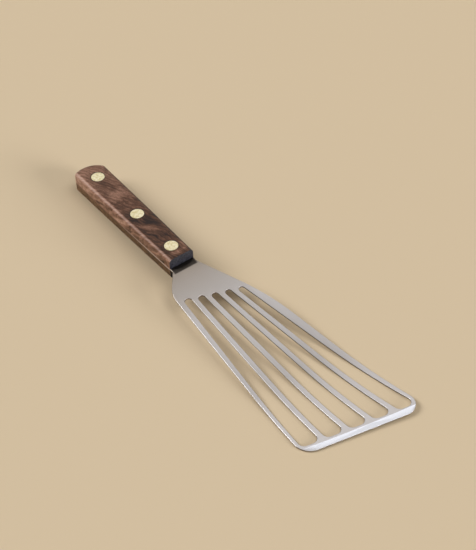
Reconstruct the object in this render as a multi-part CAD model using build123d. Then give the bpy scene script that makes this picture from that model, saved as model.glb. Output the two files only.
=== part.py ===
from build123d import *
import os
from math import asin, atan2, cos, degrees, hypot, radians, sin, tan

# Slotted fish turner: one stainless sheet that is blade and full tang, two walnut scales
# and three two-piece brass cutlery rivets. Millimetres and degrees throughout.
# The model is laid out on the flat tang: x = 0 at the front of the handle, +X towards the
# tip, +Z out of the upper scale. The last section stands it on the surface it rests on.

# Sheet
sheet = 1.0
slot_count = 5
bar_width = 3.2

# Side view of the sheet, from the handle forwards
bend_radius = 15.0
bend_angle = 9.0
straight_run = 95.6
belly_radius = 258.0

# Plan of the blade. The near side is -Y and the far side +Y; reaches run along X from the
# front of the handle. Flare and edge angles are measured from the X axis, the tip's, the
# slot starts' and the butt's from the Y axis. The neck leads straight on before it flares.
neck_lead = 2.7
neck_radius = 1.5
near_flare_angle = 38.0
near_shoulder_reach = 16.0
near_edge_angle = 2.25
near_shoulder_radius = 17.0
near_corner_radius = 10.1
far_flare_angle = 25.1
far_shoulder_reach = 46.5
far_edge_angle = 10.6
far_shoulder_radius = 146.0
far_corner_radius = 8.1
tip_reach = 149.8
tip_angle = 12.6
near_bevel_width = 3.3
far_bevel_width = 4.1
bevel_land = 0.4

# Slots: their round starts lie on one slanted line and their ends on a line beside the tip.
# They share out each line's width between the two rails, which are the blade's outer bars.
slot_start_reach = 27.4
slot_start_angle = 18.5
start_rail_width = 3.8
slot_end_margin = 4.7
end_rail_width = 2.1
slot_end_radius = 3.7

# Handle, its length taken along the middle. The arched butt is cut at a slant and reaches
# furthest back on the near side.
handle_length = 105.4
butt_width = 19.9
waist_width = 18.9
front_width = 16.9
butt_depth = 4.0
butt_angle = 12.2
butt_corner_radius = 2.5
scale_thickness = 6.9
edge_radius = 2.5

# Cutlery rivets, one post and one sleeve each: two set in from the ends of the handle, one
# between them at a share of the way back
front_rivet_inset = 10.2
rear_rivet_inset = 14.3
middle_rivet_share = 0.45
head_diameter = 8.5
head_thickness = 1.8
sleeve_diameter = 5.4
post_diameter = 3.6
head_clearance = 0.05
sleeve_clearance = 0.1
post_clearance = 0.03
post_end_gap = 0.5

# Every cutting tool runs this far past the face that it cuts
overrun = 5.0

front_half = front_width / 2
half_sheet = sheet / 2
scale_face = half_sheet + scale_thickness


def direction_at(angle):
    return Vector(cos(radians(angle)), sin(radians(angle)))


def meet(point, direction, reach, angle):
    """Where a line along the blade meets one across it that leans forward on the far side."""
    slope = tan(radians(angle))
    travel = (reach + slope * point.Y - point.X) / (direction.X - slope * direction.Y)
    return point + direction * travel


def foot(target, point, direction):
    """The point of a line that lies nearest to the target."""
    return point + direction * (target - point).dot(direction)


def rounded(face, corner_radii):
    """Rounds each named corner of a flat outline with its own radius."""
    for corner, radius in corner_radii:
        face = fillet(face.vertices().sort_by_distance(corner)[0], radius)
    return face


def handle_outline():
    """Outline shared by the tang and both scales: arched butt and slightly bowed sides."""
    butt_half = butt_width / 2
    butt_lean = butt_half * tan(radians(butt_angle))
    butt_start = butt_depth - handle_length
    waist_x = butt_start / 2
    waist_half = waist_width / 2
    far_butt = Vector(butt_start + butt_lean, butt_half)
    near_butt = Vector(butt_start - butt_lean, -butt_half)
    outline = [
        ThreePointArc((0, front_half), (waist_x, waist_half), far_butt),
        ThreePointArc(far_butt, (-handle_length, 0), near_butt),
        ThreePointArc(near_butt, (waist_x, -waist_half), (0, -front_half)),
        Line((0, -front_half), (0, front_half)),
    ]
    face = make_face(outline)
    return rounded(face, [(far_butt, butt_corner_radius), (near_butt, butt_corner_radius)])


near_neck = Vector(neck_lead, -front_half)
far_neck = Vector(neck_lead, front_half)
near_flare = direction_at(-near_flare_angle)
far_flare = direction_at(far_flare_angle)
near_edge = direction_at(-near_edge_angle)
far_edge = direction_at(far_edge_angle)
near_shoulder = meet(near_neck, near_flare, near_shoulder_reach, 0)
far_shoulder = meet(far_neck, far_flare, far_shoulder_reach, 0)
near_corner = meet(near_shoulder, near_edge, tip_reach, tip_angle)
far_corner = meet(far_shoulder, far_edge, tip_reach, tip_angle)


def blade_outline():
    """Plan of the blade in front of the handle, longer and wider on its far side."""
    face = make_face(
        Polyline(
            (0, -front_half), near_neck, near_shoulder, near_corner, far_corner, far_shoulder,
            far_neck, (0, front_half), close=True,
        )
    )
    corner_radii = [
        (near_neck, neck_radius),
        (far_neck, neck_radius),
        (near_shoulder, near_shoulder_radius),
        (near_corner, near_corner_radius),
        (far_corner, far_corner_radius),
        (far_shoulder, far_shoulder_radius),
    ]
    return rounded(face, corner_radii)


slot_end_reach = tip_reach - slot_end_margin / cos(radians(tip_angle))
start_line = [
    meet(near_shoulder, near_edge, slot_start_reach, slot_start_angle),
    meet(far_shoulder, far_flare, slot_start_reach, slot_start_angle),
]
end_line = [
    meet(near_shoulder, near_edge, slot_end_reach, tip_angle),
    meet(far_shoulder, far_edge, slot_end_reach, tip_angle),
]


def shared_place(line, rail_width, place):
    """A point of a line across the blade, counted in slot pitches from its middle."""
    across = line[1] - line[0]
    pitch = (across.length - 2 * rail_width + bar_width) / slot_count
    return (line[0] + line[1]) / 2 + across.normalized() * pitch * place


def bar_line(place):
    """Start and direction of a centre line of a bar or slot, counted in slot pitches."""
    start = shared_place(start_line, start_rail_width, place)
    end = shared_place(end_line, end_rail_width, place)
    return start, (end - start).normalized()


def slot_outline(place):
    """One slot: a round start, sides along its two bars, and an end beside the tip."""
    half_pitch_share = 0.5
    apex, along = bar_line(place)
    near_bar, near_along = bar_line(place - half_pitch_share)
    far_bar, far_along = bar_line(place + half_pitch_share)
    near_side = near_bar + near_along.rotate(Axis.Z, 90) * bar_width / 2
    far_side = far_bar - far_along.rotate(Axis.Z, 90) * bar_width / 2
    start_radius = (foot(apex, far_side, far_along) - foot(apex, near_side, near_along)).length / 2
    near_start = foot(apex + along * start_radius, near_side, near_along)
    far_start = foot(apex + along * start_radius, far_side, far_along)
    near_end = meet(near_side, near_along, slot_end_reach, tip_angle)
    far_end = meet(far_side, far_along, slot_end_reach, tip_angle)
    face = make_face(
        [
            ThreePointArc(far_start, apex, near_start),
            Polyline(near_start, near_end, far_end, far_start),
        ]
    )
    return rounded(face, [(near_end, slot_end_radius), (far_end, slot_end_radius)])


def slot_places():
    middle = (slot_count - 1) / 2
    return [index - middle for index in range(slot_count)]


def side_line():
    """Middle line of the sheet seen from the side: tang, neck bend, run and rising belly."""
    tang = Line((-handle_length - overrun, 0), (0, 0))
    bend = JernArc(tang @ 1, tang % 1, bend_radius, -bend_angle)
    run = Line(bend @ 1, (bend @ 1) + (bend % 1) * straight_run)
    belly_sweep = degrees((far_corner.X + overrun - (run @ 1).X) / belly_radius)
    belly = JernArc(run @ 1, run % 1, belly_radius, belly_sweep)
    return tang, bend, run, belly


def belly_centre():
    """Centre of the belly's arc in the side view, as x and z."""
    run = side_line()[2]
    return (run @ 1) + (run % 1).rotate(Axis.Z, 90) * belly_radius


def belly_height(x, rise):
    """Height of a surface that lies rise above the middle of the sheet, on the belly."""
    centre = belly_centre()
    radius = belly_radius - rise
    return centre.Y - radius * cos(asin((x - centre.X) / radius))


def lifted(point, rise):
    """A point of the plan, brought up to a surface of the belly."""
    return Vector(point.X, point.Y, belly_height(point.X, rise))


def bevel_cutter():
    """Wedge over the front edge. Its flat face starts on a slanted line across the sheet's
    upper side and leaves a land at the middle of the front edge."""
    inward = direction_at(180 - tip_angle)
    near_inner = lifted(near_corner + inward * near_bevel_width, half_sheet)
    far_inner = lifted(far_corner + inward * far_bevel_width, half_sheet)
    front = lifted((near_corner + far_corner) / 2, -half_sheet) + Vector(0, 0, bevel_land)
    across = (far_inner - near_inner).normalized()
    ground = Plane(origin=front, x_dir=across, z_dir=across.cross(near_inner - front))
    reach = (far_corner - near_corner).length
    return extrude(ground * Rectangle(2 * reach, reach), scale_face + overrun)


front_rivet = Vector(-front_rivet_inset, 0)
rear_rivet = Vector(rear_rivet_inset - handle_length, 0)
rivet_places = {
    "front": front_rivet,
    "middle": front_rivet + (rear_rivet - front_rivet) * middle_rivet_share,
    "rear": rear_rivet,
}


def disc(centre, radius, low, high):
    """Round bar, head or hole standing on the tang, between two heights."""
    return extrude(Pos(centre.X, centre.Y, low) * Circle(radius), high - low)


def make_blade():
    """Blade and tang in one sheet, slotted, bent at the neck and curved up to the tip."""
    width = 2 * (far_corner.Y + overrun)
    path = Plane.XZ * Wire(side_line())
    start = Plane(origin=path @ 0, x_dir=(0, 1, 0), z_dir=path % 0)
    band = sweep(start * Rectangle(width, sheet), path)
    plan = handle_outline() + blade_outline()
    for place in slot_places():
        plan -= slot_outline(place)
    for centre in rivet_places.values():
        plan -= Pos(centre) * Circle(sleeve_diameter / 2 + sleeve_clearance)
    band_box = band.bounding_box()
    low = band_box.min.Z - overrun
    cut = extrude(Pos(0, 0, low) * plan, band_box.max.Z + overrun - low)
    return (band & cut) - bevel_cutter()


def make_scale():
    """Upper scale: flat on the tang, soft outer edges, square front, rivet holes."""
    scale = extrude(Pos(0, 0, half_sheet) * handle_outline(), scale_thickness)
    outer = scale.edges().filter_by_position(Axis.Z, scale_face, scale_face)
    front = outer.sort_by(Axis.X)[-1]
    scale = fillet([edge for edge in outer if edge != front], edge_radius)
    head_floor = scale_face - head_thickness
    for centre in rivet_places.values():
        hole_radius = sleeve_diameter / 2 + sleeve_clearance
        head_radius = head_diameter / 2 + head_clearance
        scale -= disc(centre, hole_radius, half_sheet - overrun, head_floor + overrun)
        scale -= disc(centre, head_radius, head_floor, scale_face + overrun)
    return scale


def make_post(centre):
    """Upper half of a rivet: a head flush with the upper scale and a solid shank."""
    head_floor = scale_face - head_thickness
    shank_end = -head_floor + post_end_gap
    head = disc(centre, head_diameter / 2, head_floor, scale_face)
    return head + disc(centre, post_diameter / 2, shank_end, head_floor)


def make_sleeve(centre):
    """Lower half of a rivet: a head flush with the lower scale and a tube round the post."""
    head_floor = scale_face - head_thickness
    tube_end = head_floor - post_end_gap
    head = disc(centre, head_diameter / 2, -scale_face, -head_floor)
    tube = disc(centre, sleeve_diameter / 2, -head_floor, tube_end)
    bore = disc(centre, post_diameter / 2 + post_clearance, -head_floor, tube_end + overrun)
    return head + tube - bore


upper_scale = make_scale()
nodes = {
    "blade": make_blade(),
    "upper_scale": upper_scale,
    "lower_scale": mirror(upper_scale, Plane.XY),
}
for name, centre in rivet_places.items():
    nodes[f"{name}_rivet_post"] = make_post(centre)
    nodes[f"{name}_rivet_sleeve"] = make_sleeve(centre)

# At rest the turner touches the surface at the rounded lower edge of its butt, where that
# reaches furthest back, and at its belly. Both are arcs in the side view, so the surface is
# their common tangent.
butt_x = handle_outline().bounding_box().min.X + edge_radius
butt_z = edge_radius - scale_face
belly = belly_centre()
span = hypot(belly.X - butt_x, belly.Y - butt_z)
radius_gap = belly_radius + half_sheet - edge_radius
surface_angle = atan2(belly.Y - butt_z, belly.X - butt_x) - asin(radius_gap / span)
butt_height = butt_z * cos(surface_angle) - butt_x * sin(surface_angle)
surface_height = butt_height - edge_radius

tilt = Rot(Y=degrees(surface_angle))
box = Compound([tilt * node for node in nodes.values()]).bounding_box()
stand = Pos(-box.center().X, -box.center().Y, -surface_height) * tilt

os.makedirs("parts", exist_ok=True)
for name, node in nodes.items():
    export_step(stand * node, f"parts/{name}.step")
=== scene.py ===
from math import cos, radians, sin

import bmesh
import bpy
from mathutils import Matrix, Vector


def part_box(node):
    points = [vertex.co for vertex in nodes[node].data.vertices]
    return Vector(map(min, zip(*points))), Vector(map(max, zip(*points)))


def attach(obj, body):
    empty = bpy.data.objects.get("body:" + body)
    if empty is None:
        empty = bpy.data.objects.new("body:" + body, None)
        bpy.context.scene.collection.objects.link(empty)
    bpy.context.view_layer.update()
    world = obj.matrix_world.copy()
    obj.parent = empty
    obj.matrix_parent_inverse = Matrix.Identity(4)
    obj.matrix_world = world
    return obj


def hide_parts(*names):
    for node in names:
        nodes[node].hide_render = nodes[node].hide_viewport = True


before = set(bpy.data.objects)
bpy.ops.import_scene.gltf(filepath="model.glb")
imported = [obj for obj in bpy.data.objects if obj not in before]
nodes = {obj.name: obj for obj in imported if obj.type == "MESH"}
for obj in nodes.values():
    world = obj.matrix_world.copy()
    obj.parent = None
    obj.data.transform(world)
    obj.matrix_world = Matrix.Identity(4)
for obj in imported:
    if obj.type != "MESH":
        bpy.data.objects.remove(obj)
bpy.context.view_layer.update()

# Lengths are written in millimetres and turned to Blender's metres by this. The patterns'
# places and spacings are counted in millimetres all through
mm = 0.001
up = Vector((0, 0, 1))


# Helpers for colours and material nodes

# The Mix node's two inputs and its output when it mixes colours
first, second, mixed = 6, 7, 2


def colour(hex_code):
    """Linear colour of an sRGB hex code."""
    channels = [int(hex_code[i:i + 2], 16) / 255 for i in (1, 3, 5)]
    linear = [c / 12.92 if c <= 0.04045 else ((c + 0.055) / 1.055) ** 2.4 for c in channels]
    return (*linear, 1.0)


def add(tree, kind, inputs=None, out=0, **settings):
    """Adds a node with its settings, joins or sets its inputs and gives one of its outputs, if
    it has any."""
    made = tree.nodes.new(kind)
    for name, value in settings.items():
        setattr(made, name, value)
    for socket, value in (inputs or {}).items():
        if isinstance(value, bpy.types.NodeSocket):
            tree.links.new(value, made.inputs[socket])
        else:
            made.inputs[socket].default_value = value
    return made.outputs[out] if made.outputs else None


def new_material(name):
    """An empty material and its node tree."""
    made = bpy.data.materials.new(name)
    made.use_nodes = True
    made.node_tree.nodes.clear()
    return made, made.node_tree


def board_place(tree, origin=(0.0, 0.0, 0.0), turn=0.0, dip=0.0, spacing=(1.0, 1.0, 1.0)):
    """Object coordinates counted from an origin and divided by the pattern's spacing along each
    axis. The pattern is turned about the upright, and dip raises its front end. Everything is in
    millimetres and degrees."""
    place = add(tree, "ShaderNodeTexCoord", out="Object")
    counted = add(tree, "ShaderNodeVectorMath", {0: place, 1: (1 / mm,) * 3}, operation="MULTIPLY")
    moved = add(tree, "ShaderNodeVectorMath", {0: counted, 1: origin}, operation="SUBTRACT")
    turned = add(tree, "ShaderNodeVectorRotate",
                 {"Vector": moved, "Rotation": (0.0, radians(-dip), radians(turn))},
                 rotation_type="EULER_XYZ", invert=True)
    return add(tree, "ShaderNodeVectorMath", {0: turned, 1: spacing}, operation="DIVIDE")


def on_plane(tree, point, normal, reach):
    """1 on the flat face through the point, and 0 further from its plane than the reach."""
    place = add(tree, "ShaderNodeTexCoord", out="Object")
    offset = add(tree, "ShaderNodeVectorMath", {0: place, 1: point}, operation="SUBTRACT")
    height = add(tree, "ShaderNodeVectorMath", {0: offset, 1: normal}, out="Value",
                 operation="DOT_PRODUCT")
    return add(tree, "ShaderNodeMapRange",
               {"Value": add(tree, "ShaderNodeMath", {0: height}, operation="ABSOLUTE"),
                "From Min": reach / 2, "From Max": reach, "To Min": 1.0, "To Max": 0.0})


# Places read off the frame

blade = nodes["blade"]
upper_scale = nodes["upper_scale"]
handle_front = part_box("upper_scale")[1].x

rivet_places = {}
for name in ("front", "middle", "rear"):
    low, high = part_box(f"{name}_rivet_post")
    rivet_places[name] = (low + high) / 2

# How far the tip slants, and how wide the bevel on it is at its narrow end
tip_angle = radians(12.6)
bevel_width = 3.3 * mm
tip_normal = Vector((cos(tip_angle), -sin(tip_angle), 0))
tip_distance = max(v.co.dot(tip_normal) for v in blade.data.vertices)


def largest_face(node, direction, near=lambda centre: True):
    """Centre and normal of the largest flat face of a node that looks along a direction."""
    widest_lean = radians(40)
    faces = [
        face for face in node.data.polygons
        if face.normal.dot(direction) > cos(widest_lean) and near(face.center)
    ]
    largest = max(faces, key=lambda face: face.area)
    return largest.center.copy(), largest.normal.copy()


def beside_tip(centre):
    """True within half the bevel's width of the front edge."""
    return tip_distance - centre.dot(tip_normal) < bevel_width / 2


ground_point, ground_normal = largest_face(blade, up, beside_tip)
front_point, front_normal = largest_face(upper_scale, Vector((1, 0, 0)))
top_normal = largest_face(upper_scale, up)[1]


# Blade with its edges deburred. Its map's first direction lies across the blade, for the satin

across_blade = "across the blade"
edge_radius = 0.3 * mm
rounding_steps = 3
# Points of the CAD mesh that lie closer than this are one
weld = 0.002 * mm
# The round at the sheet's upper face and the one at its lower face each take up to this share
# of the wall between them
wall_share = 0.4
# A face whose normal rises less than this is a wall, and the ground face is flat to within
# the other angle
wall_rise = radians(40)
ground_flatness = radians(1)


def is_wall(face):
    """True for the punched sides of the slots and the outline, and for the land at the tip."""
    return abs(face.normal.z) < sin(wall_rise)


def is_ground(face):
    """True for the flat face of the bevel."""
    same_way = face.normal.dot(ground_normal) > cos(ground_flatness)
    return same_way and beside_tip(face.calc_center_median())


def is_rim(edge):
    """True where a wall meets a face of the sheet."""
    walls = [is_wall(face) for face in edge.link_faces]
    return any(walls) and not all(walls)


def mean_normal(corner, wanted):
    """Mean normal of the faces round a corner that pass a test, by their angles there."""
    total = Vector()
    for loop in corner.link_loops:
        if wanted(loop.face):
            total += loop.face.normal * loop.calc_angle()
    return total.normalized()


def rim_arc(corner, sheet_normal, wall_normal):
    """The arc that rounds a corner of the rim, from the sheet's face to the wall, as places and
    their normals."""
    wall_heights = [
        edge.calc_length() for edge in corner.link_edges
        if all(is_wall(face) for face in edge.link_faces)
    ]
    radius = min([edge_radius] + [wall_share * height for height in wall_heights])
    centre = corner.co - (wall_normal + sheet_normal) * radius
    turns = [radians(90) * step / rounding_steps for step in range(rounding_steps + 1)]
    outward = [sheet_normal * cos(turn) + wall_normal * sin(turn) for turn in turns]
    return [(centre + normal * radius, normal) for normal in outward]


def rounded_rims(solid):
    """Points, faces and the normals at the faces' corners of a sheet whose rims in front of the
    handle are rounded. Each corner keeps one point on the sheet's face and one on the wall. On a
    rounded rim an arc of points joins these two."""
    points, normals, faces, corner_normals = [], [], [], []
    on_sheet, on_wall, arcs = {}, {}, {}

    def new_point(place, normal):
        points.append(place.copy())
        normals.append(normal.normalized())
        return len(points) - 1

    for corner in solid.verts:
        sheet_normal = mean_normal(corner, lambda face: not is_wall(face) and not is_ground(face))
        if sheet_normal.length == 0:
            sheet_normal = mean_normal(corner, lambda face: not is_wall(face))
        wall_normal = mean_normal(corner, is_wall)
        in_front = corner.co.x > handle_front + edge_radius
        if in_front and any(is_rim(edge) for edge in corner.link_edges):
            arc = [new_point(*part) for part in rim_arc(corner, sheet_normal, wall_normal)]
            on_sheet[corner], on_wall[corner], arcs[corner] = arc[0], arc[-1], arc
        else:
            on_sheet[corner] = new_point(corner.co, sheet_normal)
            on_wall[corner] = new_point(corner.co, wall_normal)

    for face in solid.faces:
        source = on_wall if is_wall(face) else on_sheet
        ring = [source[corner] for corner in face.verts]
        flat = is_ground(face)
        faces.append(ring)
        corner_normals += [face.normal.copy() if flat else normals[point] for point in ring]

    # strips of faces along the rims, which narrow to a point where the rounding ends
    for edge in solid.edges:
        start, end = edge.verts
        if not is_rim(edge) or (start not in arcs and end not in arcs):
            continue
        wall_loop = next(loop for loop in edge.link_loops if is_wall(loop.face))
        if wall_loop.vert != start:
            start, end = end, start
        start_arc = arcs.get(start, [on_sheet[start]] * (rounding_steps + 1))
        end_arc = arcs.get(end, [on_sheet[end]] * (rounding_steps + 1))
        for step in range(rounding_steps):
            ring = [start_arc[step], start_arc[step + 1], end_arc[step + 1], end_arc[step]]
            ring = [point for i, point in enumerate(ring) if point not in ring[:i]][::-1]
            faces.append(ring)
            corner_normals += [normals[point] for point in ring]
    return points, faces, corner_normals


def deburred_blade():
    """The blade and tang with the sharp edges in front of the handle broken to a small round,
    as tumbling leaves them. That round gives each bar the thin bright line along its edge."""
    solid = bmesh.new()
    solid.from_mesh(blade.data)
    bmesh.ops.remove_doubles(solid, verts=solid.verts, dist=weld)
    solid.normal_update()
    points, faces, corner_normals = rounded_rims(solid)
    solid.free()

    mesh = bpy.data.meshes.new("deburred_blade")
    mesh.from_pydata(points, [], faces)
    mesh.shade_smooth()
    mesh.normals_split_custom_set(corner_normals)
    sideways = mesh.uv_layers.new(name=across_blade)
    for loop in mesh.loops:
        place = mesh.vertices[loop.vertex_index].co
        sideways.uv[loop.index].vector = (place.y, place.x)
    piece = bpy.data.objects.new("deburred_blade", mesh)
    bpy.context.collection.objects.link(piece)
    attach(piece, "root")
    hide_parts("blade")
    return piece


# Stainless steel

def make_steel():
    """Rolled stainless sheet with a satin brushed along the blade: what it mirrors is blurred
    across the blade and stays crisper along it, so the handle's dark end shows in the neck.
    The bevel at the tip is ground after that, so it shows brighter. A brownish painted shade
    darkens the neck, fading from the handle to the slots, and a dark painted reflection of the
    handle's end lies in the corner right before the handle. The punched walls of the slots and
    the outline are dull, and painted darker still as shade for the shaded floor that they mirror.
    Oil and wood dust have browned the tang's edge between the scales."""
    material, tree = new_material("satin stainless steel")
    # the brush's lines, really about 0.05 mm apart, are drawn coarser so that they show
    line_spacing, line_length = 0.35, 14.0
    line_depth = 0.02 * mm
    cloud_size = (30.0, 18.0, 18.0)
    ground_reach = 0.04 * mm
    # places along the turner: the handle's front, the end of the painted neck shade, and where
    # the tang's edge starts to brown and is brown
    front_x, painted_neck_shade_end_x = -26.9, 16.0
    browned_from_x, browned_x = -45.0, -85.0
    # the painted reflection's reach ahead of the handle's front and to each side of its middle,
    # each with the reach at which it has faded out
    painted_reflection_reach, painted_reflection_end = 4.6, 5.3
    handle_middle_y = -12.4
    painted_reflection_half_width, painted_reflection_side = 7.6, 8.6

    ground = on_plane(tree, ground_point, ground_normal, ground_reach)
    fine = add(tree, "ShaderNodeTexNoise",
               {"Vector": board_place(tree, spacing=(line_spacing,) * 3), "Scale": 1.0,
                "Detail": 2.0})
    brushed = add(tree, "ShaderNodeTexNoise",
                  {"Vector": board_place(tree, spacing=(line_length, line_spacing, line_spacing)),
                   "Scale": 1.0, "Detail": 3.0})
    cloudy = add(tree, "ShaderNodeTexNoise",
                 {"Vector": board_place(tree, spacing=cloud_size), "Scale": 1.0, "Detail": 2.0})
    texture = add(tree, "ShaderNodeMix", {"Factor": 0.5, "A": fine, "B": brushed},
                  data_type="FLOAT")
    satin = add(tree, "ShaderNodeMapRange", {"Value": texture, "To Min": 0.24, "To Max": 0.36})
    roughness = add(tree, "ShaderNodeMix", {"Factor": ground, "A": satin, "B": 0.26},
                    data_type="FLOAT")
    tint = add(tree, "ShaderNodeMix",
               {"Factor": cloudy, first: colour("#b0acac"), second: colour("#bab7b8")}, out=mixed,
               data_type="RGBA")
    bright = add(tree, "ShaderNodeMix", {"Factor": ground, first: tint, second: colour("#edf0fb")},
                 out=mixed, data_type="RGBA")

    # painted shade on the neck, and a painted reflection of the handle's dark end right before
    # the handle
    axes = add(tree, "ShaderNodeSeparateXYZ", {0: board_place(tree)}).node.outputs
    # painted shade: the neck is darkened brownish from the handle's front towards the slots
    painted_neck_shade = add(tree, "ShaderNodeMapRange",
               {"Value": axes["X"], "From Min": front_x, "From Max": painted_neck_shade_end_x, "To Min": 1.0,
                "To Max": 0.0})
    with_painted_neck_shade = add(tree, "ShaderNodeMix", {"Factor": painted_neck_shade, first: bright, second: colour("#8e847a")},
                 out=mixed, data_type="RGBA")
    # painted reflection: the handle's dark end, painted dark in the corner right before it
    ahead = add(tree, "ShaderNodeMapRange",
                {"Value": axes["X"], "From Min": front_x + painted_reflection_reach,
                 "From Max": front_x + painted_reflection_end, "To Min": 0.95, "To Max": 0.0})
    off_middle = add(tree, "ShaderNodeMath", {0: axes["Y"], 1: handle_middle_y},
                     operation="SUBTRACT")
    beside = add(tree, "ShaderNodeMapRange",
                 {"Value": add(tree, "ShaderNodeMath", {0: off_middle}, operation="ABSOLUTE"),
                  "From Min": painted_reflection_half_width, "From Max": painted_reflection_side, "To Min": 1.0,
                  "To Max": 0.0})
    painted_reflection = add(tree, "ShaderNodeMath", {0: ahead, 1: beside}, operation="MULTIPLY")
    with_painted_reflection = add(tree, "ShaderNodeMix",
                   {"Factor": painted_reflection, first: with_painted_neck_shade, second: colour("#38332f")}, out=mixed,
                   data_type="RGBA")

    # punched walls, told by normals that lie nearly level, dull and painted darker as shade for
    # the shaded floor that they mirror, and the tang's browned edge
    facing = add(tree, "ShaderNodeSeparateXYZ",
                 {0: add(tree, "ShaderNodeNewGeometry", out="Normal")}, out="Z")
    # dull walls, painted darker still as shade for the shaded floor that they mirror
    wall = add(tree, "ShaderNodeMapRange",
               {"Value": add(tree, "ShaderNodeMath", {0: facing}, operation="ABSOLUTE"),
                "From Min": 0.25, "From Max": 0.6, "To Min": 1.0, "To Max": 0.0})
    with_dull_shaded_walls = add(tree, "ShaderNodeMix",
                 {"Factor": wall, first: with_painted_reflection, second: colour("#75695e")}, out=mixed,
                 data_type="RGBA")
    age = add(tree, "ShaderNodeMapRange",
              {"Value": axes["X"], "From Min": browned_x, "From Max": browned_from_x,
               "To Min": 1.0, "To Max": 0.0})
    old_edge = add(tree, "ShaderNodeMix",
                   {"Factor": age, first: colour("#a8978e"), second: colour("#7c5c4c")},
                   out=mixed, data_type="RGBA")
    covered = add(tree, "ShaderNodeMath", {0: axes["X"], 1: front_x}, operation="LESS_THAN")
    shade = add(tree, "ShaderNodeMix", {"Factor": covered, first: with_dull_shaded_walls, second: old_edge},
                out=mixed, data_type="RGBA")

    relief = add(tree, "ShaderNodeBump",
                 {"Height": brushed, "Strength": 0.15, "Distance": line_depth})
    across = add(tree, "ShaderNodeTangent", direction_type="UV_MAP", uv_map=across_blade)
    surface = add(tree, "ShaderNodeBsdfPrincipled",
                  {"Base Color": shade, "Metallic": 1.0, "Roughness": roughness,
                   "Anisotropic": 1.0, "Tangent": across, "Normal": relief}, out="BSDF")
    add(tree, "ShaderNodeOutputMaterial", {"Surface": surface})
    return material


# Brass

def make_brass():
    """Brass rivet heads, ground flush with the wood and buffed: pale yellow, softly bright."""
    material, tree = new_material("buffed brass")
    # the buffing's lines are drawn coarser than the real ones, which are too fine to show
    scratch_size = (5.0, 0.25, 0.25)
    scratch_depth = 0.02 * mm
    spot_size = (1.4, 1.4, 1.4)

    buffed = add(tree, "ShaderNodeTexNoise",
                 {"Vector": board_place(tree, spacing=scratch_size), "Scale": 1.0, "Detail": 2.0})
    tarnish = add(tree, "ShaderNodeTexNoise",
                  {"Vector": board_place(tree, spacing=spot_size), "Scale": 1.0, "Detail": 3.0})
    spots = add(tree, "ShaderNodeMapRange",
                {"Value": tarnish, "From Min": 0.32, "From Max": 0.62})
    roughness = add(tree, "ShaderNodeMapRange",
                    {"Value": buffed, "To Min": 0.28, "To Max": 0.42})
    tint = add(tree, "ShaderNodeMix",
               {"Factor": spots, first: colour("#e0d29e"), second: colour("#fbf3d5")}, out=mixed,
               data_type="RGBA")
    relief = add(tree, "ShaderNodeBump",
                 {"Height": buffed, "Strength": 0.1, "Distance": scratch_depth})
    surface = add(tree, "ShaderNodeBsdfPrincipled",
                  {"Base Color": tint, "Metallic": 1.0, "Roughness": roughness,
                   "Normal": relief}, out="BSDF")
    add(tree, "ShaderNodeOutputMaterial", {"Surface": surface})
    return material


# Walnut

def beside_rivets(tree):
    """1 in the wood right at a rivet head, and 0 from a short way off."""
    head_radius = 4.25 * mm
    stained = 0.75 * mm
    place = add(tree, "ShaderNodeTexCoord", out="Object")
    distances = []
    for centre in rivet_places.values():
        offset = add(tree, "ShaderNodeVectorMath", {0: place, 1: centre}, operation="SUBTRACT")
        from_axis = add(tree, "ShaderNodeVectorMath", {0: offset, 1: top_normal},
                        operation="CROSS_PRODUCT")
        distances.append(add(tree, "ShaderNodeVectorMath", {0: from_axis}, out="Value",
                             operation="LENGTH"))
    nearest = distances[0]
    for distance in distances[1:]:
        nearest = add(tree, "ShaderNodeMath", {0: nearest, 1: distance}, operation="MINIMUM")
    return add(tree, "ShaderNodeMapRange",
               {"Value": nearest, "From Min": head_radius, "From Max": head_radius + stained,
                "To Min": 1.0, "To Max": 0.0})


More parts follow.
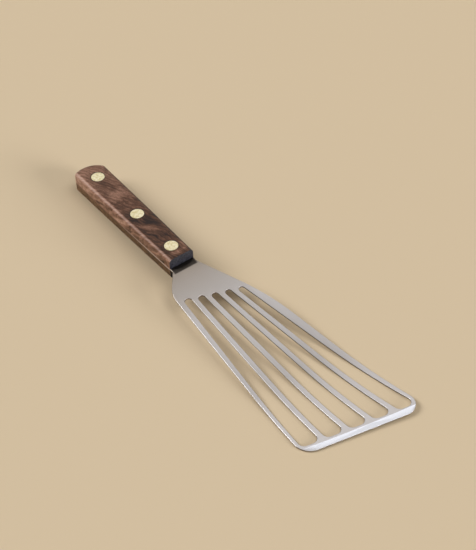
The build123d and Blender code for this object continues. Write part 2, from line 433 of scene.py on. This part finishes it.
def make_walnut(name, cut, shades, marks):
    """Figured walnut, sanded and oiled. The board's grain runs askew through the handle and
    rises towards the blade, so it shows as short swirls on top and as slanting streaks on the
    side. The near side is painted lighter and pinker, as the light falls on it, with a painted
    highlight along its upper edge, and the far upper edge gets a painted shade. The shades are
    the dark, middle, light and pale brown, and how light the wood is at the butt and towards the
    front, how much painted light the near side gets and how bright the painted highlight along
    that side's upper edge is. Each mark is a lighter or darker cloud of the figure: its place,
    its length, width and depth, its turn, its dip, and how much lighter it is. The cut says
    which part of the board the scale comes from."""
    material, tree = new_material(name)
    grain_turn, grain_dip = 24.0, 26.0
    band_length, band_spacing = 14.0, 2.2
    ring_spacing = 2.4
    # pores, really 0.1 to 0.3 mm wide, are drawn a little coarser so that they show
    pore_size, pore_relief = (3.5, 0.4, 0.4), 0.05 * mm
    speck_size = (1.1, 1.1, 0.7)
    front_reach = 0.12 * mm
    # how far the bands, the rings and the clouds' edges wander, and over what length
    sway_size = 13.0
    band_sway, ring_sway, edge_sway = (0.9, 2.8, 2.8), (0.0, 1.1, 1.1), (0.9, 0.9, 0.9)
    # the wave texture repeats after this much of its own length
    wave_period = 0.314
    # the wood is lightest at the butt, and darkens to the second place
    butt_x, dark_x = -128.0, -70.0
    # middle of the handle, and its half width at x = 0, which grows towards the butt
    middle_y, half_width_at_zero, taper = -12.4, 8.1, 0.0143
    # depths from the near or the far side, at which the painted light on the near side and the
    # painted shade along the far upper edge are still full and have faded out. The painted
    # highlight along the near upper edge has a depth of its own, and its reaches count to both
    # sides of that
    lit_side_depth, lit_side_end = 0.5, 2.2
    highlight_depth, highlight_reach, highlight_end = 1.1, 0.3, 1.1
    far_shade_depth, far_shade_end, far_shade_dip = 0.6, 1.8, -0.3
    # shares of a cloud's half length or width, at which it is still full and has faded out
    cloud_share, cloud_end_share = 0.35, 1.15
    figure_contrast, ring_contrast = 0.38, 0.14
    # the lightness of the pale brown, where light is 1 and dark is 0
    palest = 1.4

    sway = add(tree, "ShaderNodeTexNoise",
               {"Vector": board_place(tree, cut, spacing=(sway_size,) * 3), "Scale": 1.0,
                "Detail": 2.0}, out="Color")
    centred = add(tree, "ShaderNodeVectorMath", {0: sway, 1: (0.5, 0.5, 0.5)},
                  operation="SUBTRACT")
    band_swing = add(tree, "ShaderNodeVectorMath", {0: centred, 1: band_sway},
                     operation="MULTIPLY")
    straight = board_place(tree, cut, grain_turn, grain_dip,
                           (band_length, band_spacing, band_spacing))
    bands = add(tree, "ShaderNodeVectorMath", {0: straight, 1: band_swing}, operation="ADD")
    figure = add(tree, "ShaderNodeTexNoise",
                 {"Vector": bands, "Scale": 1.0, "Detail": 5.0, "Roughness": 0.66})

    # thin dark lines of the growth rings, which wander with the bands
    ring_step = ring_spacing / wave_period
    ring_swing = add(tree, "ShaderNodeVectorMath", {0: centred, 1: ring_sway},
                     operation="MULTIPLY")
    ring_place = add(tree, "ShaderNodeVectorMath",
                     {0: board_place(tree, cut, grain_turn, grain_dip,
                                     (band_length, ring_step, ring_step)), 1: ring_swing},
                     operation="ADD")
    rings = add(tree, "ShaderNodeTexWave",
                {"Vector": ring_place, "Scale": 1.0, "Distortion": 0.8, "Detail": 3.0,
                 "Detail Scale": 2.0}, out="Fac", bands_direction="Y", wave_profile="SAW")

    # lightness: sapwood towards the butt, painted light on the near side, a painted highlight
    # along that side's upper edge and painted shade along the far upper edge, then the clouds
    # and the grain
    axes = add(tree, "ShaderNodeSeparateXYZ", {0: board_place(tree)}).node.outputs
    lightness = add(tree, "ShaderNodeMapRange",
                    {"Value": axes["X"], "From Min": butt_x, "From Max": dark_x,
                     "To Min": shades["butt"], "To Max": shades["front"]})
    half_width = add(tree, "ShaderNodeMath", {0: axes["X"], 1: -taper, 2: half_width_at_zero},
                     operation="MULTIPLY_ADD")
    off_middle = add(tree, "ShaderNodeMath", {0: axes["Y"], 1: middle_y}, operation="SUBTRACT")
    from_near = add(tree, "ShaderNodeMath", {0: half_width, 1: off_middle})
    from_far = add(tree, "ShaderNodeMath", {0: half_width, 1: off_middle},
                   operation="SUBTRACT")
    # painted light: the near side, which faces the window, is painted lighter
    painted_light_near_side = add(tree, "ShaderNodeMapRange",
                    {"Value": from_near, "From Min": lit_side_depth, "From Max": lit_side_end,
                     "To Min": shades["side"], "To Max": 0.0})
    # painted highlight: a lighter band along the near upper edge, where the window shines
    off_highlight = add(tree, "ShaderNodeMath", {0: from_near, 1: highlight_depth}, operation="SUBTRACT")
    painted_edge_highlight = add(tree, "ShaderNodeMapRange",
                      {"Value": add(tree, "ShaderNodeMath", {0: off_highlight}, operation="ABSOLUTE"),
                       "From Min": highlight_reach, "From Max": highlight_end,
                       "To Min": shades["edge"], "To Max": 0.0})
    # painted shade: a darker band along the far upper edge
    painted_far_edge_shade = add(tree, "ShaderNodeMapRange",
                   {"Value": from_far, "From Min": far_shade_depth, "From Max": far_shade_end,
                    "To Min": far_shade_dip, "To Max": 0.0})
    for part in (painted_light_near_side, painted_edge_highlight, painted_far_edge_shade):
        lightness = add(tree, "ShaderNodeMath", {0: lightness, 1: part})
    wander = add(tree, "ShaderNodeVectorMath", {0: centred, 1: edge_sway},
                 operation="MULTIPLY")
    for place, size, turn, dip, lighter in marks:
        inside = board_place(tree, place, turn, dip, tuple(length / 2 for length in size))
        ragged = add(tree, "ShaderNodeVectorMath", {0: inside, 1: wander}, operation="ADD")
        distance = add(tree, "ShaderNodeVectorMath", {0: ragged}, out="Value",
                       operation="LENGTH")
        patch = add(tree, "ShaderNodeMapRange",
                    {"Value": distance, "From Min": cloud_share, "From Max": cloud_end_share,
                     "To Min": lighter, "To Max": 0.0}, interpolation_type="SMOOTHSTEP")
        lightness = add(tree, "ShaderNodeMath", {0: lightness, 1: patch})
    streaked = add(tree, "ShaderNodeMapRange",
                   {"Value": figure, "From Min": 0.25, "From Max": 0.75,
                    "To Min": -figure_contrast, "To Max": figure_contrast}, clamp=False)
    ringed = add(tree, "ShaderNodeMapRange",
                 {"Value": rings, "To Min": -ring_contrast, "To Max": ring_contrast})
    for part in (streaked, ringed):
        lightness = add(tree, "ShaderNodeMath", {0: lightness, 1: part})

    ramp = add(tree, "ShaderNodeValToRGB",
               {"Fac": add(tree, "ShaderNodeMath", {0: lightness, 1: palest},
                           operation="DIVIDE")})
    stops = ramp.node.color_ramp.elements
    stops[0].color, stops[1].color = colour(shades["dark"]), colour(shades["pale"])
    stops.new(0.5 / palest).color = colour(shades["middle"])
    stops.new(1.0 / palest).color = colour(shades["light"])
    pores = add(tree, "ShaderNodeTexNoise",
                {"Vector": board_place(tree, cut, grain_turn, grain_dip, pore_size),
                 "Scale": 1.0, "Detail": 2.0})
    pore_depth = add(tree, "ShaderNodeMapRange",
                     {"Value": pores, "From Min": 0.30, "From Max": 0.50})
    grained = add(tree, "ShaderNodeMix", {"Factor": 0.4, first: ramp, second: pore_depth},
                  out=mixed, data_type="RGBA", blend_type="MULTIPLY")
    stained = add(tree, "ShaderNodeMix",
                  {"Factor": beside_rivets(tree), first: grained, second: colour("#241711")},
                  out=mixed, data_type="RGBA")

    # sealed end grain: nearly black, with greyer specks
    front = on_plane(tree, front_point, front_normal, front_reach)
    specks = add(tree, "ShaderNodeTexNoise",
                 {"Vector": board_place(tree, spacing=speck_size), "Scale": 1.0, "Detail": 2.0})
    speckled = add(tree, "ShaderNodeMapRange",
                   {"Value": specks, "From Min": 0.35, "From Max": 0.68})
    end_grain = add(tree, "ShaderNodeMix",
                    {"Factor": speckled, first: colour("#15151d"), second: colour("#393a44")},
                    out=mixed, data_type="RGBA")
    shade = add(tree, "ShaderNodeMix", {"Factor": front, first: stained, second: end_grain},
                out=mixed, data_type="RGBA")
    roughness = add(tree, "ShaderNodeMapRange",
                    {"Value": figure, "To Min": 0.34, "To Max": 0.46})
    relief = add(tree, "ShaderNodeBump",
                 {"Height": pore_depth, "Strength": 0.25, "Distance": pore_relief})
    surface = add(tree, "ShaderNodeBsdfPrincipled",
                  {"Base Color": shade, "Roughness": roughness, "Normal": relief, "IOR": 1.5,
                   "Specular IOR Level": 0.27}, out="BSDF")
    add(tree, "ShaderNodeOutputMaterial", {"Surface": surface})
    return material


def cloud(along, across, length, width, turn, lighter):
    """A cloud that goes right through the board, so that it looks alike at every height."""
    through = 120.0
    return (along, across, 0.0), (length, width, through), turn, 0.0, lighter


def streak(along, height, length, depth, lighter):
    """A streak in the near side of the handle that slants up towards the blade."""
    near_side_y, width, dip = -21.5, 5.0, 24.0
    return (along, near_side_y, height), (length, width, depth), 0.0, dip, lighter


# The two scales come from different boards: the lower one is an even olive brown
# side and edge give the painted light on the upper scale's near side and the painted highlight
# along its upper edge; the lower scale gets neither
upper_shades = {"dark": "#20100b", "middle": "#60402f", "light": "#9f7763",
                "pale": "#c09884", "butt": 0.76, "front": 0.28, "side": 0.4, "edge": 0.44}
lower_shades = {"dark": "#2f1d0e", "middle": "#5c4028", "light": "#886549",
                "pale": "#a8855f", "butt": 0.68, "front": 0.42, "side": 0.0, "edge": 0.0}
# A cloud's place along and across the handle, its length, width, turn and how much lighter it
# is, and a streak's place along, its height, length, depth and how much lighter it is
upper_marks = (
    cloud(-95.8, -13.0, 13.0, 22.0, 0.0, 0.42),
    cloud(-109.8, -13.4, 13.0, 10.0, 0.0, -0.2),
    cloud(-80.8, -7.4, 26.0, 7.0, 0.0, 0.16),
    cloud(-64.8, -9.4, 16.0, 9.0, 20.0, -0.2),
    cloud(-70.8, -17.4, 12.0, 6.0, 10.0, -0.2),
    cloud(-63.4, -11.4, 8.0, 6.0, 20.0, -0.2),
    cloud(-81.0, -14.4, 8.0, 5.0, 20.0, 0.2),
    cloud(-59.0, -14.4, 22.0, 6.0, 40.0, 0.36),
    cloud(-47.8, -13.4, 14.0, 7.0, 60.0, -0.1),
    cloud(-34.8, -6.4, 14.0, 6.0, 0.0, 0.32),
    cloud(-30.8, -12.4, 6.0, 16.0, 0.0, 0.42),
    streak(-79.5, 12.3, 24.0, 4.0, 0.66),
    streak(-69.0, 11.5, 10.0, 2.5, -0.35),
    streak(-62.5, 13.5, 16.0, 3.0, 0.3),
    streak(-91.5, 13.5, 15.0, 3.5, -0.4),
    streak(-113.0, 12.0, 18.0, 3.0, 0.2),
    streak(-104.5, 9.5, 20.0, 3.0, -0.48),
    streak(-42.0, 15.0, 14.0, 3.0, 0.35),
    streak(-36.0, 12.5, 14.0, 3.0, -0.35),
)
lower_marks = (cloud(-80.0, -12.4, 40.0, 12.0, 20.0, 0.15),)

steel = make_steel()
brass = make_brass()
finishes = {
    "blade": steel,
    "upper_scale": make_walnut("oiled walnut, upper scale", (0.0, 0.0, 0.0), upper_shades,
                               upper_marks),
    "lower_scale": make_walnut("oiled walnut, lower scale", (60.0, 40.0, 25.0), lower_shades,
                               lower_marks),
}
for name, node in nodes.items():
    for slot in node.material_slots:
        slot.material = finishes.get(name, brass)
deburred_blade().data.materials.append(steel)


# Floor, painted matt, so that it shows soft shadows and no gloss

floor_size = 4000.0 * mm
half = floor_size / 2
floor_mesh = bpy.data.meshes.new("floor")
floor_mesh.from_pydata(
    [(-half, -half, 0), (half, -half, 0), (half, half, 0), (-half, half, 0)], [], [(0, 1, 2, 3)]
)
floor = bpy.data.objects.new("floor", floor_mesh)
bpy.context.collection.objects.link(floor)
floor_paint, floor_tree = new_material("pale matt floor")
matt = add(floor_tree, "ShaderNodeBsdfPrincipled",
           {"Base Color": colour("#dec9a9"), "Roughness": 0.9, "Specular IOR Level": 0.2},
           out="BSDF")
add(floor_tree, "ShaderNodeOutputMaterial", {"Surface": matt})
floor_mesh.materials.append(floor_paint)


# Camera as the photograph gives it: where it looks on the floor, from what side, how high and
# how far, and the focal length counted in the picture's pixels

image_width, image_height = 476, 550
aim = Vector((-8.74 * mm, 15.82 * mm, 0))
camera_azimuth = radians(-36.99)
camera_elevation = radians(46.78)
camera_distance = 796.2 * mm
focal_length_pixels = 1322.3


def direction(azimuth, elevation):
    """Unit vector that points to a side and a height, both in radians."""
    return Vector((cos(elevation) * cos(azimuth), cos(elevation) * sin(azimuth), sin(elevation)))


towards_camera = direction(camera_azimuth, camera_elevation)
camera_data = bpy.data.cameras.new("camera")
camera = bpy.data.objects.new("camera", camera_data)
bpy.context.collection.objects.link(camera)
camera.location = aim + towards_camera * camera_distance
camera.rotation_mode = "QUATERNION"
camera.rotation_quaternion = (-towards_camera).to_track_quat("-Z", "Y")
camera_data.lens = focal_length_pixels / max(image_width, image_height) * camera_data.sensor_width
bpy.context.scene.camera = camera


# Light: a large window on the left, a soft lamp over the right side and a low one beyond the
# blade's tip. They throw most of the light, so the bars get clear shadows, and they stand so
# far off that the whole floor is lit alike

def far_lamp(name, azimuth, elevation, width, strength):
    """A round soft lamp far off to one side. The angles are in degrees, and the width is the
    angle that it fills as seen from the floor."""
    data = bpy.data.lights.new(name, "SUN")
    data.angle = radians(width)
    data.energy = strength
    lamp = bpy.data.objects.new(name, data)
    bpy.context.collection.objects.link(lamp)
    lamp.rotation_mode = "QUATERNION"
    towards_lamp = direction(radians(azimuth), radians(elevation))
    lamp.rotation_quaternion = (-towards_lamp).to_track_quat("-Z", "Y")


far_lamp("left window", azimuth=-133, elevation=38, width=32, strength=1.93)
far_lamp("right lamp", azimuth=45, elevation=65, width=36, strength=0.72)
far_lamp("low lamp", azimuth=25, elevation=14, width=24, strength=2.2)

# The pale studio all round is what the camera sees and what the metal mirrors. It throws less
# light on the floor than that, so that the lamps make the shadows
studio_seen, studio_lighting = 0.87, 0.13

world = bpy.data.worlds.new("studio")
world.use_nodes = True
studio = world.node_tree
studio.nodes.clear()
ray = add(studio, "ShaderNodeLightPath").node.outputs
mirrored = add(studio, "ShaderNodeMath",
               {0: ray["Is Glossy Ray"], 1: ray["Is Transmission Ray"]}, operation="MAXIMUM")
seen = add(studio, "ShaderNodeMath", {0: ray["Is Camera Ray"], 1: mirrored}, operation="MAXIMUM")
level = add(studio, "ShaderNodeMapRange",
            {"Value": seen, "To Min": studio_lighting, "To Max": studio_seen})
pale = add(studio, "ShaderNodeBackground", {"Color": colour("#f6f3ee"), "Strength": level})
add(studio, "ShaderNodeOutputWorld", {"Surface": pale})
bpy.context.scene.world = world
bpy.context.scene.view_settings.view_transform = "Standard"
